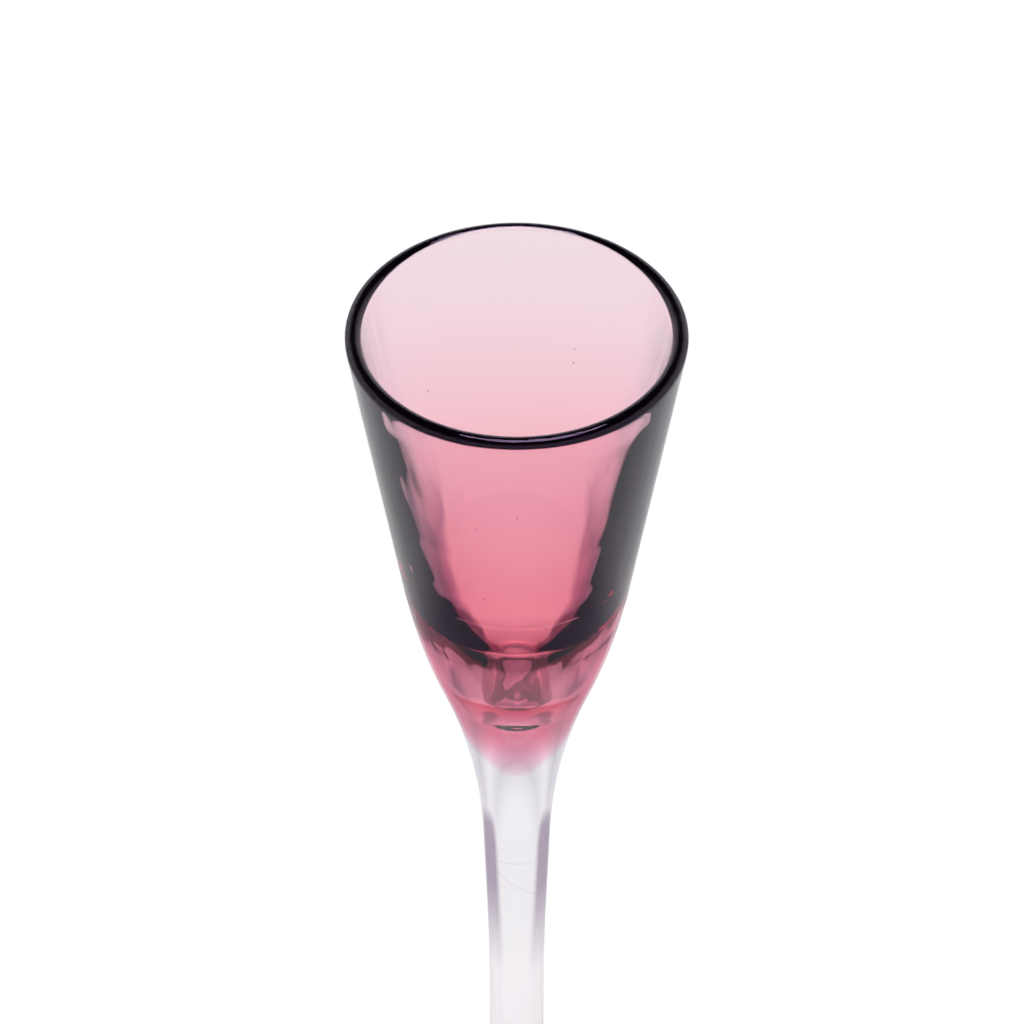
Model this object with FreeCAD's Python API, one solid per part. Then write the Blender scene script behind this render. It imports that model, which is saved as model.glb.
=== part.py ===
import FreeCAD, Part
import math
import os

# A tall-stemmed cordial glass, blown by hand. It is four gathers of glass fused to each other:
# an amethyst bowl with a solid drop under its cavity, a clear neck that cups the drop, a clear
# stem and a clear foot. Each is turned about +Z from its half section. The origin is the centre
# of the foot's underside, where the glass stands. Sizes are in millimetres. Depths are measured
# down from the top of the lip, and heights up from the surface that the glass stands on.

# Whole glass
TOTAL_HEIGHT = 185.0
MOUTH_DIAMETER = 44.0
FOOT_DIAMETER = 58.0
STEM_DIAMETER = 8.1

# An outline is a run of corners, each a radius from the axis, a depth and the size of its fillet.

# Lip: a fire-polished, fully rounded edge
BEAD_DIAMETER = 2.1

# Outside of the bowl: a straight cone down to the neck's feather edge
SIDE_LEAN = 8.7
SIDE_DEPTH = 44.0

# Cavity: a straight cone from the lip, which narrows faster than the outside so that the wall
# thickens all the way down, then two faster ones that close in the rounded point
CAVITY_DEPTH = 67.8
CAVITY_WAIST = (12.50, 39.5, 100.0)
CAVITY_THROAT = (6.40, 60.0, 20.0)
CAVITY_POINT = (3.20, 66.4, 7.0)

# Drop: the solid glass below the cavity, which runs out to a rounded tip inside the neck
DROP_DEPTH = 79.4
DROP_SHOULDER = (11.20, 58.0, 30.0)
DROP_SLOPE = (3.50, 74.6, 8.0)
DROP_TIP = (1.00, 79.0, 1.6)

# Neck: carries the bowl's outline round the shoulder and flares down into the stem
SHOULDER = (13.78, 53.9, 112.0)
FLARE = (5.30, 79.3, 105.0)
NECK_DEPTH = 103.0
NECK_DIAMETER = 9.14

# Stem: drawn slightly thinner below the neck, swelling a little where it joins the foot
STEM_TAPER = (STEM_DIAMETER / 2, 120.0, 700.0)
STEM_SWELL = (STEM_DIAMETER / 2, 169.5, 40.0)
SEAM_RISE = 0.5

# Foot: a thin disc with a low cone on top, hollowed underneath so that it stands on a ring
FOOT_NECK_DIAMETER = 10.2
FOOT_NECK_HEIGHT = 9.0
FOOT_ROOT = (6.20, TOTAL_HEIGHT - 5.4, 5.0)
FOOT_SLOPE = (15.50, TOTAL_HEIGHT - 3.6, 60.0)
FOOT_EDGE_THICKNESS = 2.1
FOOT_EDGE_FILLET = 0.95
STANDING_RING_DIAMETER = 48.0
FOOT_HOLLOW = 1.4


def point(radius, depth):
    """A point of the half section."""
    return FreeCAD.Vector(radius, 0, TOTAL_HEIGHT - depth)


def line(start, end):
    return Part.LineSegment(start, end).toShape()


def outline(start, corners, end):
    """Straight runs from start to end by way of the corners, each rounded to its fillet."""
    edges = []
    places = [point(radius, depth) for radius, depth, fillet in corners] + [end]
    for corner, following, (_, _, fillet) in zip(places, places[1:], corners):
        arriving = (corner - start).normalize()
        leaving = (following - corner).normalize()
        half_turn = arriving.getAngle(leaving) / 2
        reach = fillet * math.tan(half_turn)
        middle = corner + (leaving - arriving).normalize() * fillet * (1 / math.cos(half_turn) - 1)
        arc = Part.Arc(corner - arriving * reach, middle, corner + leaving * reach)
        edges += [line(start, arc.StartPoint), arc.toShape()]
        start = arc.EndPoint
    return edges + [line(start, end)]


def dome(radius, depth, rise):
    """A shallow arc from this radius to the axis, where it has risen and lies level."""
    dome_radius = (radius**2 + rise**2) / (2 * rise)
    half_turn = math.asin(radius / dome_radius) / 2
    middle_depth = depth - rise + dome_radius * (1 - math.cos(half_turn))
    middle = point(dome_radius * math.sin(half_turn), middle_depth)
    return Part.Arc(point(radius, depth), middle, point(0, depth - rise)).toShape()


def turned(edges):
    """The solid that a closed half section sweeps about the axis."""
    section = Part.Face(Part.Wire(Part.__sortEdges__(edges)))
    return section.revolve(FreeCAD.Vector(0, 0, 0), FreeCAD.Vector(0, 0, 1), 360)


lean = math.radians(SIDE_LEAN)
bead_radius = BEAD_DIAMETER / 2
bead_centre = point(MOUTH_DIAMETER / 2 - bead_radius, bead_radius)
lip_inside = bead_centre - FreeCAD.Vector(bead_radius, 0, 0)
lip_crown = bead_centre + FreeCAD.Vector(0, 0, bead_radius)
lip_outside = bead_centre + FreeCAD.Vector(math.cos(lean), 0, -math.sin(lean)) * bead_radius
side_height = lip_outside.z - (TOTAL_HEIGHT - SIDE_DEPTH)
side_end = lip_outside - FreeCAD.Vector(math.tan(lean), 0, 1) * side_height

drop_tip = point(0, DROP_DEPTH)
neck_depth_on_axis = NECK_DEPTH - SEAM_RISE
foot_neck_depth = TOTAL_HEIGHT - FOOT_NECK_HEIGHT
foot_depth_on_axis = foot_neck_depth - SEAM_RISE


def drop_wall():
    """The drop's outside, where the amethyst glass meets the clear neck."""
    return outline(side_end, [DROP_SHOULDER, DROP_SLOPE, DROP_TIP], drop_tip)


def bowl():
    """The amethyst gather: lip, side, cavity and the solid drop."""
    cavity_point = point(0, CAVITY_DEPTH)
    return turned([
        Part.Arc(lip_inside, lip_crown, lip_outside).toShape(),
        line(lip_outside, side_end),
        *drop_wall(),
        line(drop_tip, cavity_point),
        *outline(lip_inside, [CAVITY_WAIST, CAVITY_THROAT, CAVITY_POINT], cavity_point),
    ])


def neck():
    """The clear gather that cups the drop and is drawn down towards the stem."""
    return turned([
        *drop_wall(),
        *outline(side_end, [SHOULDER, FLARE], point(NECK_DIAMETER / 2, NECK_DEPTH)),
        dome(NECK_DIAMETER / 2, NECK_DEPTH, SEAM_RISE),
        line(point(0, neck_depth_on_axis), drop_tip),
    ])


def stem():
    """The clear rod between the neck and the foot."""
    top = point(NECK_DIAMETER / 2, NECK_DEPTH)
    bottom = point(FOOT_NECK_DIAMETER / 2, foot_neck_depth)
    return turned([
        dome(NECK_DIAMETER / 2, NECK_DEPTH, SEAM_RISE),
        *outline(top, [STEM_TAPER, STEM_SWELL], bottom),
        dome(FOOT_NECK_DIAMETER / 2, foot_neck_depth, SEAM_RISE),
        line(point(0, foot_depth_on_axis), point(0, neck_depth_on_axis)),
    ])


def foot():
    """The clear disc that the glass stands on."""
    edge_radius = FOOT_DIAMETER / 2
    ring_radius = STANDING_RING_DIAMETER / 2
    edge_top = (edge_radius, TOTAL_HEIGHT - FOOT_EDGE_THICKNESS, FOOT_EDGE_FILLET)
    edge_bottom = (edge_radius, TOTAL_HEIGHT, FOOT_EDGE_FILLET)
    top = point(FOOT_NECK_DIAMETER / 2, foot_neck_depth)
    ring = point(ring_radius, TOTAL_HEIGHT)
    return turned([
        dome(FOOT_NECK_DIAMETER / 2, foot_neck_depth, SEAM_RISE),
        *outline(top, [FOOT_ROOT, FOOT_SLOPE, edge_top, edge_bottom], ring),
        dome(ring_radius, TOTAL_HEIGHT, FOOT_HOLLOW),
        line(point(0, TOTAL_HEIGHT - FOOT_HOLLOW), point(0, foot_depth_on_axis)),
    ])


os.makedirs("parts", exist_ok=True)
for name, piece in {"bowl": bowl, "neck": neck, "stem": stem, "foot": foot}.items():
    solid = piece()
    solid.exportStep(f"parts/{name}.step")
    print(f"{name}: valid {solid.isValid()}, {solid.Volume / 1000:.2f} cm3, {solid.ShapeType}")
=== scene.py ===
import math

import bmesh
import bpy
from mathutils import Matrix, Vector


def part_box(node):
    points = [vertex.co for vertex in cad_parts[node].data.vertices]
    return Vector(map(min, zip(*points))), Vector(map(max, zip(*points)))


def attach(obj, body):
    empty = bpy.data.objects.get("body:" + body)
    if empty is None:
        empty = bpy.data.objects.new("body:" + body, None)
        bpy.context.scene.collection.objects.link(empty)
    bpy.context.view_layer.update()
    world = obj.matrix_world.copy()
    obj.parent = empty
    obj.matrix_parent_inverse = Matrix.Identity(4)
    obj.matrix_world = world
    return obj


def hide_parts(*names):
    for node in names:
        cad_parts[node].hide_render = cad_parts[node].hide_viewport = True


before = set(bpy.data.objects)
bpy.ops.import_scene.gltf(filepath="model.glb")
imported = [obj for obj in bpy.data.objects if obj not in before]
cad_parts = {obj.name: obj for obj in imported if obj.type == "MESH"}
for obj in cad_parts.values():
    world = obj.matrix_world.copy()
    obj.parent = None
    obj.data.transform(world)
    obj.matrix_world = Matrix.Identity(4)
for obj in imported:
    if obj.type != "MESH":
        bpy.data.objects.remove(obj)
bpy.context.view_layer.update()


# ---- Bowl -----------------------------------------------------------------------------------
# The amethyst gather, blown thin at the lip and left thick below, with a solid drop of the same
# glass under the cavity. Its lip is melted back to a bead. The wall is all one colour of glass,
# so it looks pale where it is thin and deep where it is thick.

SPACING = 0.8
ARC_STEP = 0.06
FUSED_GAP = 0.012
STEPS_PER_SIXTEENTH = 12
MERGE_DISTANCE = 0.000001
OFF_AXIS = 0.0001
CREASE = math.radians(12)
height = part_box("bowl")[1].z * 1000


def place(radius, depth):
    """A point of the half section, from millimetres off the axis and below the lip."""
    return Vector((radius, 0, height - depth)) / 1000


def run(start, *corners):
    """Points from start round corners of (radius, depth, fillet) to a last one with no fillet."""
    points = [place(*start)]
    stops = [place(radius, depth) for radius, depth, *_ in corners]
    for corner, following, (_, _, fillet) in zip(stops, stops[1:], corners):
        arriving = (corner - points[-1]).normalized()
        leaving = (following - corner).normalized()
        turn = arriving.angle(leaving)
        reach = fillet / 1000 * math.tan(turn / 2)
        first = corner - arriving * reach
        points += straight(points[-1], first)
        side = (leaving - arriving * math.cos(turn)).normalized()
        pieces = math.ceil(max(turn / ARC_STEP, turn * fillet / SPACING))
        for step in range(1, pieces + 1):
            angle = turn * step / pieces
            swing = arriving * math.sin(angle) + side * (1 - math.cos(angle))
            points.append(first + swing * fillet / 1000)
    return points + straight(points[-1], stops[-1])


def straight(start, end):
    """The points after start on a straight run to end."""
    pieces = max(1, math.ceil((end - start).length * 1000 / SPACING))
    return [start.lerp(end, step / pieces) for step in range(1, pieces + 1)]


def spun(name, runs, waviness, material):
    """The closed piece that runs of the half section sweep, each marked 1 where it is fused."""
    shell = bmesh.new()
    mark = shell.verts.layers.float.new("mark")
    for points, fused in runs:
        corners = [shell.verts.new(point) for point in points]
        for corner in corners:
            corner[mark] = fused
        for pair in zip(corners, corners[1:]):
            shell.edges.new(pair)

    # a sixteenth of the turn is spun, then doubled four times until it closes
    half_section = shell.verts[:] + shell.edges[:]
    bmesh.ops.spin(
        shell, geom=half_section, axis=(0, 0, 1), angle=math.tau / 16, steps=STEPS_PER_SIXTEENTH
    )
    for share in (16, 8, 4, 2):
        copied = bmesh.ops.duplicate(shell, geom=shell.verts[:] + shell.edges[:] + shell.faces[:])
        turned = [part for part in copied["geom"] if isinstance(part, bmesh.types.BMVert)]
        bmesh.ops.rotate(shell, verts=turned, matrix=Matrix.Rotation(math.tau / share, 3, "Z"))
    fused_faces = shell.faces.layers.float.new("fused")
    for face in shell.faces:
        face[fused_faces] = min(corner[mark] for corner in face.verts)
        face.smooth = True
    bmesh.ops.remove_doubles(shell, verts=shell.verts, dist=MERGE_DISTANCE)
    bmesh.ops.recalc_face_normals(shell, faces=shell.faces)
    for edge in shell.edges:
        edge.smooth = edge.calc_face_angle(0) < CREASE

    # the waviness moves the skin straight out from the axis
    for corner in shell.verts:
        radius = math.hypot(corner.co.x, corner.co.y)
        if radius > OFF_AXIS:
            angle = math.atan2(corner.co.y, corner.co.x)
            inside = corner.normal.x * corner.co.x + corner.normal.y * corner.co.y < 0
            stretch = 1 + waviness(angle, height - corner.co.z * 1000, inside) / (radius * 1000)
            corner.co.x *= stretch
            corner.co.y *= stretch

    mesh = bpy.data.meshes.new(name)
    shell.to_mesh(mesh)
    shell.free()
    mesh.materials.append(material)
    piece = bpy.data.objects.new(name, mesh)
    bpy.context.scene.collection.objects.link(piece)
    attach(piece, "root")
    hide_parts(name)


class Socket:
    """A shader socket that takes part in Python expressions."""

    def __init__(self, tree, socket):
        self.tree = tree
        self.socket = socket

    def node(self, kind, settings=None, inputs=None, output=0):
        """Adds a node, with its settings set before the values or links of its sockets."""
        new = self.tree.nodes.new(kind)
        for key, value in (settings or {}).items():
            if key == "stops":
                for place_on_ramp, colour in value[2:]:
                    new.color_ramp.elements.new(place_on_ramp)
                for element, (position, colour) in zip(new.color_ramp.elements, value):
                    element.position = position
                    element.color = (*colour, 1)
            else:
                setattr(new, key, value)
        for key, value in (inputs or {}).items():
            if isinstance(value, Socket):
                self.tree.links.new(value.socket, new.inputs[key])
            else:
                new.inputs[key].default_value = value
        return Socket(self.tree, new.outputs[output])

    def maths(self, operation, *values):
        return self.node("ShaderNodeMath", {"operation": operation}, dict(enumerate(values)))

    def __add__(self, other):
        return self.maths("ADD", self, other)

    def __sub__(self, other):
        return self.maths("SUBTRACT", self, other)

    def __rsub__(self, other):
        return self.maths("SUBTRACT", other, self)

    def __mul__(self, other):
        return self.maths("MULTIPLY", self, other)

    __radd__ = __add__
    __rmul__ = __mul__


SEED_CELLS = 260.0
HAIRLINE_DEPTH = 102.2
HAIRLINE_SLANT = 900
HAIRLINE_WANDER = 0.8
DRAWN_OUT = (1.0, 1.0, 0.12)


def glass(name, body, core, edges, edge_shade_fade, ripple, absorption=None, density=0.0, sheen=(1, 1, 1)):
    """Glass with one refractive skin, which is left out where two gathers are fused."""
    material = bpy.data.materials.new(name)
    material.use_nodes = True
    tree = material.node_tree
    tree.nodes.clear()
    start = Socket(tree, None)
    where = start.node("ShaderNodeTexCoord", output="Object")
    across = start.node("ShaderNodeSeparateXYZ", inputs={0: where}, output="X")
    level = start.node("ShaderNodeSeparateXYZ", inputs={0: where}, output="Z")
    depth = height - 1000 * level

    # the colour by depth, with painted shade that darkens it along the outline where the skin is
    # seen edge-on, stronger or fainter by depth
    skin_colour = start.node("ShaderNodeValToRGB", {"stops": body}, {0: depth * (1 / 100)})
    fused_tint_and_shade = start.node("ShaderNodeValToRGB", {"stops": core}, {0: depth * (1 / 100)})
    # painted shade: the edges ramp, read by how edge-on the skin is, stands in for dark
    # surroundings seen in the glass
    facing = start.node("ShaderNodeLayerWeight", inputs={"Blend": 0.5}, output="Facing")
    painted_edge_shade = start.node("ShaderNodeValToRGB", {"stops": edges}, {0: facing})
    first, last, above, below = edge_shade_fade
    edge_shade_strength = start.node(
        "ShaderNodeMapRange", inputs={0: depth, 1: first, 2: last, 3: above, 4: below}
    )
    multiply = {"data_type": "RGBA", "blend_type": "MULTIPLY"}
    tint = start.node("ShaderNodeMix", multiply, {0: edge_shade_strength, 6: skin_colour, 7: painted_edge_shade}, output=2)

    # seeds: pinhead bubbles and specks, a few to the square centimetre
    cells = {"Vector": where, "Scale": SEED_CELLS}
    off_seed = start.node("ShaderNodeTexVoronoi", inputs=cells, output="Distance")
    picked = start.node("ShaderNodeTexVoronoi", inputs=cells, output="Color")
    seed = start.node("ShaderNodeMapRange", inputs={0: off_seed, 1: 0.02, 2: 0.05, 3: 1.0, 4: 0.0})
    rare = start.node("ShaderNodeMapRange", inputs={0: picked, 1: 0.66, 2: 0.70, 3: 0.0, 4: 1.0})
    specks = {0: seed * rare, 6: tint, 7: (0.25, 0.2, 0.25, 1)}
    tint = start.node("ShaderNodeMix", multiply, specks, output=2)

    # the hairline round the stem where it was joined to the neck
    wander = start.node("ShaderNodeTexNoise", inputs={"Vector": where, "Scale": 400.0})
    below_line = depth - HAIRLINE_DEPTH - HAIRLINE_SLANT * across - HAIRLINE_WANDER * wander
    off_line = start.maths("ABSOLUTE", below_line)
    hairline = start.node(
        "ShaderNodeMapRange", inputs={0: off_line, 1: 0.03, 2: 0.16, 3: 0.5, 4: 0.0}
    )
    drawn_line = {0: hairline, 6: tint, 7: (0.5, 0.48, 0.55, 1)}
    tint = start.node("ShaderNodeMix", multiply, drawn_line, output=2)

    # ripples left by blowing and drawing, much longer up and down than across
    drawn_out = start.node("ShaderNodeMapping", inputs={"Vector": where, "Scale": DRAWN_OUT})
    waves = start.node(
        "ShaderNodeTexNoise", inputs={"Vector": drawn_out, "Scale": 260.0, "Detail": 1.0}
    )
    bump = start.node(
        "ShaderNodeBump", inputs={"Strength": ripple, "Distance": 0.001, "Height": waves}
    )

    # the open skin refracts, and fused faces only pass on the colour of the glass, together with
    # the painted shade that their colour ramp holds
    skin = start.node(
        "ShaderNodeBsdfPrincipled",
        inputs={
            "Base Color": tint, "Roughness": 0.0, "IOR": 1.5, "Transmission Weight": 1.0,
            "Specular Tint": (*sheen, 1), "Normal": bump,
        },
    )
    joined = start.node(
        "ShaderNodeBsdfPrincipled",
        inputs={
            "Base Color": fused_tint_and_shade, "Roughness": 0.0, "IOR": 1.0, "Transmission Weight": 1.0,
        },
    )
    fused = start.node("ShaderNodeAttribute", {"attribute_name": "fused"}, output="Fac")
    both = start.node("ShaderNodeMixShader", inputs={0: fused, 1: skin, 2: joined})
    shade = start.node("ShaderNodeBsdfTransparent", inputs={"Color": (0.95, 0.91, 0.93, 1)})
    shadow = start.node("ShaderNodeLightPath", output="Is Shadow Ray")
    finish = {"Surface": start.node("ShaderNodeMixShader", inputs={0: shadow, 1: both, 2: shade})}
    if absorption:
        finish["Volume"] = start.node(
            "ShaderNodeVolumeAbsorption", inputs={"Color": (*absorption, 1), "Density": density}
        )
    output = tree.nodes.new("ShaderNodeOutputMaterial")
    for key, value in finish.items():
        tree.links.new(value.socket, output.inputs[key])
    return material


amethyst = glass(
    "amethyst",
    body=[
        (0.10, (0.98, 0.98, 0.97)),
        (0.24, (1.0, 0.88, 0.87)),
        (0.34, (1.0, 0.75, 0.75)),
        (0.44, (1.0, 0.69, 0.70)),
        (0.56, (1.0, 0.69, 0.71)),
        (0.66, (0.95, 0.60, 0.62)),
    ],
    # the fused faces pass on the pink of the glass; the darker band round 0.66 to 0.70 deep is
    # painted shade
    core=[
        (0.44, (1.0, 0.71, 0.71)),
        (0.60, (1.0, 0.74, 0.74)),
        (0.66, (0.78, 0.46, 0.52)),
        (0.70, (0.84, 0.58, 0.63)),
        (0.735, (1.0, 0.92, 0.94)),
        (0.76, (1.0, 1.0, 1.0)),
    ],
    # painted shade: the skin darkens to near black where it is seen edge-on, faint above 28 mm
    # deep and full below 38 mm
    edges=[(0.49, (1.0, 1.0, 1.0)), (0.58, (0.30, 0.18, 0.28)), (1.0, (0.15, 0.08, 0.15))],
    edge_shade_fade=(28, 38, 0.1, 1.0),
    ripple=0.07,
    absorption=(0.985, 0.15, 0.45),
    density=100.0,
    sheen=(0.6, 0.4, 0.7),
)

LIP = (20.95, 1.05)
BEAD = 1.05
SIDE_LEAN = math.radians(8.7)
SIDE_END_DEPTH = 44.0
lip_outside = (LIP[0] + BEAD * math.cos(SIDE_LEAN), LIP[1] + BEAD * math.sin(SIDE_LEAN))
side_drop = SIDE_END_DEPTH - lip_outside[1]
side_end = (lip_outside[0] - side_drop * math.tan(SIDE_LEAN), SIDE_END_DEPTH)
cavity = [(12.5, 39.5, 100.0), (6.4, 60.0, 20.0), (3.2, 66.4, 7.0), (0.0, 67.8)]
drop = [(11.2, 58.0, 30.0), (3.5, 74.6, 8.0), (1.0, 79.0, 1.6), (0.0, 79.4)]


WAVES_BEGIN, WAVES_GROW = 6, 20
WAVES_END, WAVES_DIE_AWAY = 50, 16
SIDE_THICKENING = 0.62
MORE_ON_THE_RIGHT = 0.45
BROAD_WAVE = 0.10
FINE_WAVE = 0.05
BEAD_STEPS = 24


def bowl_waviness(angle, depth, inside):
    """How far the cavity stands out from a true cone, in millimetres; the outside is true."""
    if not inside:
        return 0.0
    growing = min(1, max(0, (depth - WAVES_BEGIN) / WAVES_GROW))
    dying_away = min(1, max(0, (WAVES_END - depth) / WAVES_DIE_AWAY))
    thicker_sides = (
        SIDE_THICKENING * math.cos(angle) ** 2 * (1 + MORE_ON_THE_RIGHT * math.cos(angle))
    )
    broad = BROAD_WAVE * math.sin(2 * angle + depth / 11)
    fine = FINE_WAVE * math.sin(3 * angle - depth / 6 + 1)
    return growing * dying_away * (broad + fine - thicker_sides)


bead = []
for step in range(BEAD_STEPS + 1):
    angle = math.pi - (math.pi + SIDE_LEAN) * step / BEAD_STEPS
    bead.append(place(LIP[0] + BEAD * math.cos(angle), LIP[1] - BEAD * math.sin(angle)))
spun(
    "bowl",
    [
        (run((LIP[0] - BEAD, LIP[1]), *cavity), 0),
        (bead, 0),
        (run(lip_outside, side_end), 0),
        (run(side_end, *drop), 1),
    ],
    bowl_waviness,
    amethyst,
)


# ---- Neck -----------------------------------------------------------------------------------
# A gather of clear glass that cups the drop. Its feather edge runs into the side of the bowl, and
# it is drawn down while hot to the thickness of the stem.

NECK_DEPTH = 103.0
NECK_RADIUS = 4.57
SHOULDER = (13.78, 53.9, 112.0)
FLARE = (5.30, 79.3, 105.0)
SEAM_RISE = 0.5
SEAM_STEPS = 8
COLOURLESS = [(0.0, (0.985, 0.98, 0.99)), (1.0, (0.985, 0.98, 0.99))]
UNTINTED = [(0.0, (1.0, 1.0, 1.0)), (1.0, (1.0, 1.0, 1.0))]

clear = glass(
    "clear",
    body=COLOURLESS,
    core=UNTINTED,
    # painted shade: thin dark lines along the outline of the neck and stem where they are seen
    # edge-on, full above 74 mm deep and faint below 96 mm
    edges=[
        (0.30, (1.0, 1.0, 1.0)),
        (0.44, (0.95, 0.94, 0.96)),
        (0.52, (0.50, 0.49, 0.55)),
        (0.60, (0.95, 0.94, 0.97)),
        (0.70, (0.45, 0.44, 0.50)),
        (0.80, (0.90, 0.89, 0.93)),
        (1.0, (0.50, 0.46, 0.54)),
    ],
    edge_shade_fade=(74, 96, 1.0, 0.10),
    ripple=0.07,
)


def still(angle, depth, inside):
    """The thick gathers keep the shape that they were spun to."""
    return 0.0


def seam(radius, depth, rise):
    """A shallow dome from this radius to the axis."""
    dome = (radius**2 + rise**2) / (2 * rise)
    points = []
    for step in range(SEAM_STEPS + 1):
        off_axis = radius * (1 - step / SEAM_STEPS)
        points.append(place(off_axis, depth - rise + dome - math.sqrt(dome**2 - off_axis**2)))
    return points


cup = run(side_end, *drop)
cup = [point + Vector((FUSED_GAP if point.x > 0 else 0, 0, -FUSED_GAP)) / 1000 for point in cup]
sides = run(side_end, SHOULDER, FLARE, (NECK_RADIUS, NECK_DEPTH))
neck_seam = seam(NECK_RADIUS, NECK_DEPTH, SEAM_RISE)
spun(
    "neck",
    [(cup, 1), ([cup[0]] + sides[1:], 0), (neck_seam, 1)],
    still,
    clear,
)


# ---- Stem -----------------------------------------------------------------------------------
# A clear rod drawn from the neck, a little thinner than it, which swells where it joins the foot.

STEM_RADIUS = 4.05
STEM_TAPER = (STEM_RADIUS, 120.0, 700.0)
STEM_SWELL = (STEM_RADIUS, 169.5, 40.0)
FOOT_NECK = (5.1, 176.0)

top_seam = [point - Vector((0, 0, FUSED_GAP)) / 1000 for point in neck_seam]
sides = run((NECK_RADIUS, NECK_DEPTH), STEM_TAPER, STEM_SWELL, FOOT_NECK)
stem_seam = seam(*FOOT_NECK, SEAM_RISE)
spun(
    "stem",
    [(top_seam, 1), ([top_seam[0]] + sides[1:], 0), (stem_seam, 1)],
    still,
    clear,
)


# ---- Foot -----------------------------------------------------------------------------------
# A clear disc, cast on to the stem and worked flat, with a hollow underneath so that it stands on
# a ring.

FOOT_RADIUS = 29.0
RING_RADIUS = 24.0
FOOT_ROOT = (6.2, 179.6, 5.0)
FOOT_SLOPE = (15.5, 181.4, 60.0)
EDGE_DEPTH = 182.9
EDGE_FILLET = 0.95
BASE_DEPTH = 185.0
HOLLOW_RISE = 1.4

foot_glass = glass(
    "foot_glass",
    body=COLOURLESS,
    core=UNTINTED,
    # painted shade: the foot darkens towards its outline where it is seen edge-on, faint above 174
    # mm deep and full below 179 mm
    edges=[(0.30, (1.0, 1.0, 1.0)), (0.75, (0.80, 0.78, 0.84)), (1.0, (0.45, 0.42, 0.50))],
    edge_shade_fade=(174, 179, 0.10, 1.0),
    ripple=0.07,
)

root_seam = [point - Vector((0, 0, FUSED_GAP)) / 1000 for point in stem_seam]
disc = run(
    FOOT_NECK,
    FOOT_ROOT,
    FOOT_SLOPE,
    (FOOT_RADIUS, EDGE_DEPTH, EDGE_FILLET),
    (FOOT_RADIUS, BASE_DEPTH, EDGE_FILLET),
    (RING_RADIUS, BASE_DEPTH),
)
hollow = seam(RING_RADIUS, BASE_DEPTH, HOLLOW_RISE)
spun(
    "foot",
    [(root_seam, 1), ([root_seam[0]] + disc[1:], 0), (hollow, 0)],
    still,
    foot_glass,
)


# ---- Studio ---------------------------------------------------------------------------------
# A pale floor that runs to the horizon, white surroundings and a large soft lamp overhead. The
# glass gets dark edges from a dim ceiling and a patch of painted shade on the floor in front, both
# hidden from the camera alone, and from the floor's glow, which is weaker when refracted and
# missing when reflected.

FLOOR_REACH = 3.0
# painted shade: a dim grey patch on the floor in front of the glass, for refracted and reflected
# rays only
SHADE_PATCH_COLOUR = (0.45, 0.38, 0.47, 1)
SHADE_PATCH_SLANT = 0.9
SHADE_PATCH_BEHIND, SHADE_PATCH_FRONT = 0.035, 0.015
SHADE_PATCH_INNER_EDGE = (0.052, 0.080)
SHADE_PATCH_OUTER_EDGE = (0.105, 0.125)
GLOW_REFRACTED = 0.6
GLOW_NEAR, GLOW_FAR = 0.32, 0.85
GLOW_GROWS = (0.3, 1.2)
CEILING_COLOUR = (0.06, 0.045, 0.08, 1)
CEILING_STARTS = math.sin(math.radians(24))
CEILING_FULL = math.sin(math.radians(40))

scene = bpy.context.scene
ground = bmesh.new()
bmesh.ops.create_grid(ground, x_segments=1, y_segments=1, size=FLOOR_REACH)
floor_mesh = bpy.data.meshes.new("floor")
ground.to_mesh(floor_mesh)
ground.free()
floor = bpy.data.objects.new("floor", floor_mesh)
scene.collection.objects.link(floor)
matt = bpy.data.materials.new("floor")
matt.use_nodes = True
matt.node_tree.nodes.clear()
start = Socket(matt.node_tree, None)
seen = start.node("ShaderNodeLightPath", output="Is Camera Ray")
refracted = start.node("ShaderNodeLightPath", output="Is Transmission Ray")
spot = start.node("ShaderNodeTexCoord", output="Object")
aside = start.node("ShaderNodeSeparateXYZ", inputs={0: spot}, output="X")
along = start.node("ShaderNodeSeparateXYZ", inputs={0: spot}, output="Y")
off_centre = start.node("ShaderNodeVectorMath", {"operation": "LENGTH"}, {0: spot}, output="Value")
reach = along - SHADE_PATCH_SLANT * start.maths("ABSOLUTE", aside)
near = start.node(
    "ShaderNodeMapRange", inputs={0: reach, 1: SHADE_PATCH_BEHIND, 2: SHADE_PATCH_FRONT, 3: 0.0, 4: 1.0}
)
first, last = SHADE_PATCH_INNER_EDGE
inner_edge = start.node("ShaderNodeMapRange", inputs={0: off_centre, 1: first, 2: last})
first, last = SHADE_PATCH_OUTER_EDGE
outer_edge = start.node(
    "ShaderNodeMapRange", inputs={0: off_centre, 1: first, 2: last, 3: 1.0, 4: 0.0}
)
# painted shade: the patch darkens the floor's colour and takes its glow away, hidden from the
# camera
shade_patch = (1 - seen) * near * inner_edge * outer_edge
paint = start.node(
    "ShaderNodeMix",
    {"data_type": "RGBA"},
    {0: shade_patch, 6: (0.8, 0.8, 0.8, 1), 7: SHADE_PATCH_COLOUR},
    output=2,
)
first, last = GLOW_GROWS
spread = start.node(
    "ShaderNodeMapRange", inputs={0: off_centre, 1: first, 2: last, 3: GLOW_NEAR, 4: GLOW_FAR}
)
glow = (seen + GLOW_REFRACTED * refracted) * spread * (1 - shade_patch)
lit = start.node(
    "ShaderNodeMix",
    {"data_type": "RGBA"},
    {0: glow, 6: (0, 0, 0, 1), 7: (1, 1, 1, 1)},
    output=2,
)
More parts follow.
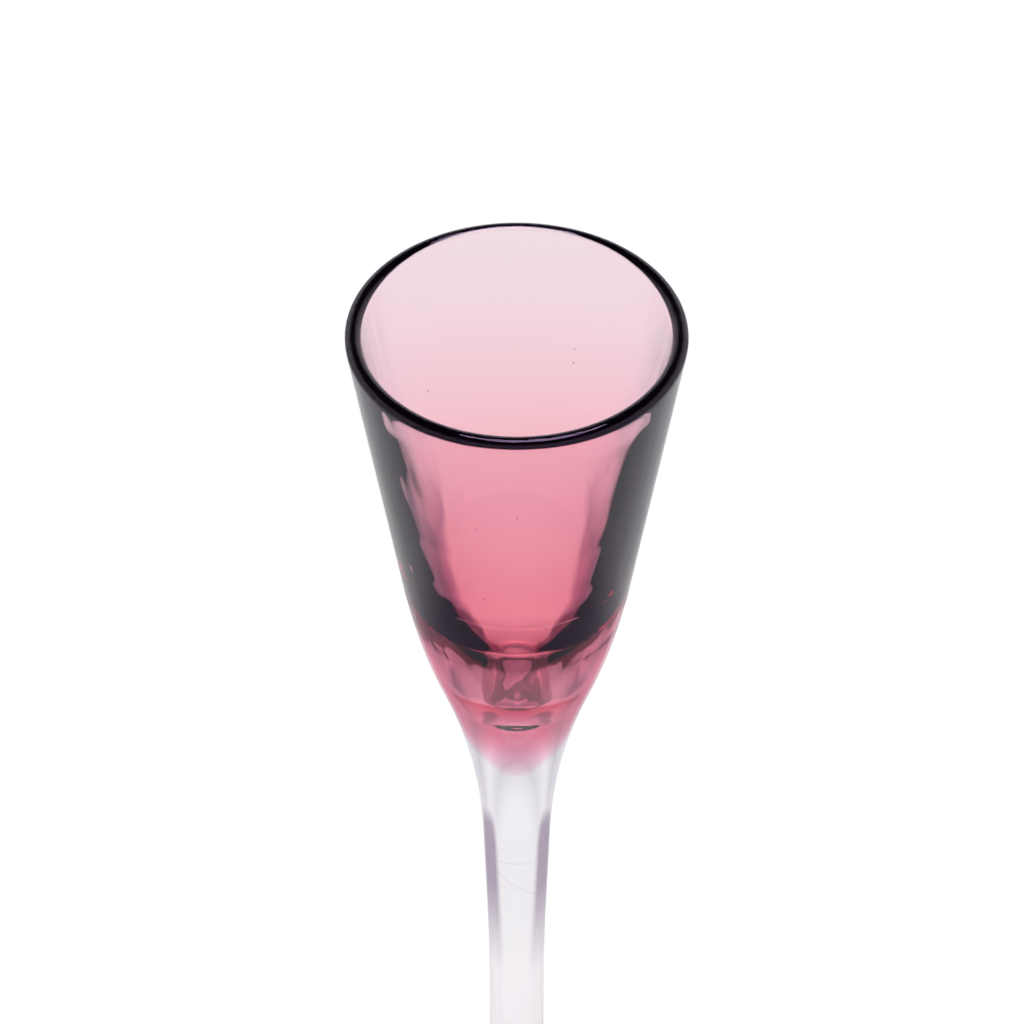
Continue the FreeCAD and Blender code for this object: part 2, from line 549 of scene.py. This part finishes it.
surface = start.node(
    "ShaderNodeBsdfPrincipled",
    inputs={
        "Base Color": paint, "Roughness": 0.7, "Emission Color": lit, "Emission Strength": 1.0,
    },
)
output = matt.node_tree.nodes.new("ShaderNodeOutputMaterial")
matt.node_tree.links.new(surface.socket, output.inputs["Surface"])
floor_mesh.materials.append(matt)

sky = bpy.data.worlds.new("surroundings")
scene.world = sky
sky.use_nodes = True
tree = sky.node_tree
tree.nodes.clear()
start = Socket(tree, None)
direction = start.node("ShaderNodeTexCoord", output="Generated")
upward = start.node("ShaderNodeSeparateXYZ", inputs={0: direction}, output="Z")
above = start.node("ShaderNodeMapRange", inputs={0: upward, 1: CEILING_STARTS, 2: CEILING_FULL})
seen = start.node("ShaderNodeLightPath", output="Is Camera Ray")
ceiling = start.node(
    "ShaderNodeMix",
    {"data_type": "RGBA"},
    {0: (1 - seen) * above, 6: (1, 1, 1, 1), 7: CEILING_COLOUR},
    output=2,
)
light = start.node("ShaderNodeBackground", inputs={"Color": ceiling, "Strength": 1.0})
output = tree.nodes.new("ShaderNodeOutputWorld")
tree.links.new(light.socket, output.inputs["Surface"])

lamp = bpy.data.lights.new("overhead", "AREA")
lamp.shape = "DISK"
lamp.size = 0.9
lamp.energy = 14
overhead = bpy.data.objects.new("overhead", lamp)
overhead.location = (0.1, 0.1, 1.5)
scene.collection.objects.link(overhead)

ELEVATION = math.radians(40.6856)
LOOKING_DOWN = 43.3737
LIP_DISTANCE = 0.5
PICTURE_WIDTH = 1024
PICTURE_CENTRE = 512
GLASS_AXIS = 516.7
camera_data = bpy.data.cameras.new("camera")
camera_data.lens = 137.54
camera_data.sensor_width = 36
camera_data.shift_x = (PICTURE_CENTRE - GLASS_AXIS) / PICTURE_WIDTH
camera = bpy.data.objects.new("camera", camera_data)
back = LIP_DISTANCE * math.cos(ELEVATION)
up = LIP_DISTANCE * math.sin(ELEVATION) + height / 1000
camera.location = (0, -back, up)
camera.rotation_euler = (math.radians(90 - LOOKING_DOWN), 0, 0)
scene.collection.objects.link(camera)
scene.camera = camera
scene.view_settings.view_transform = "Standard"
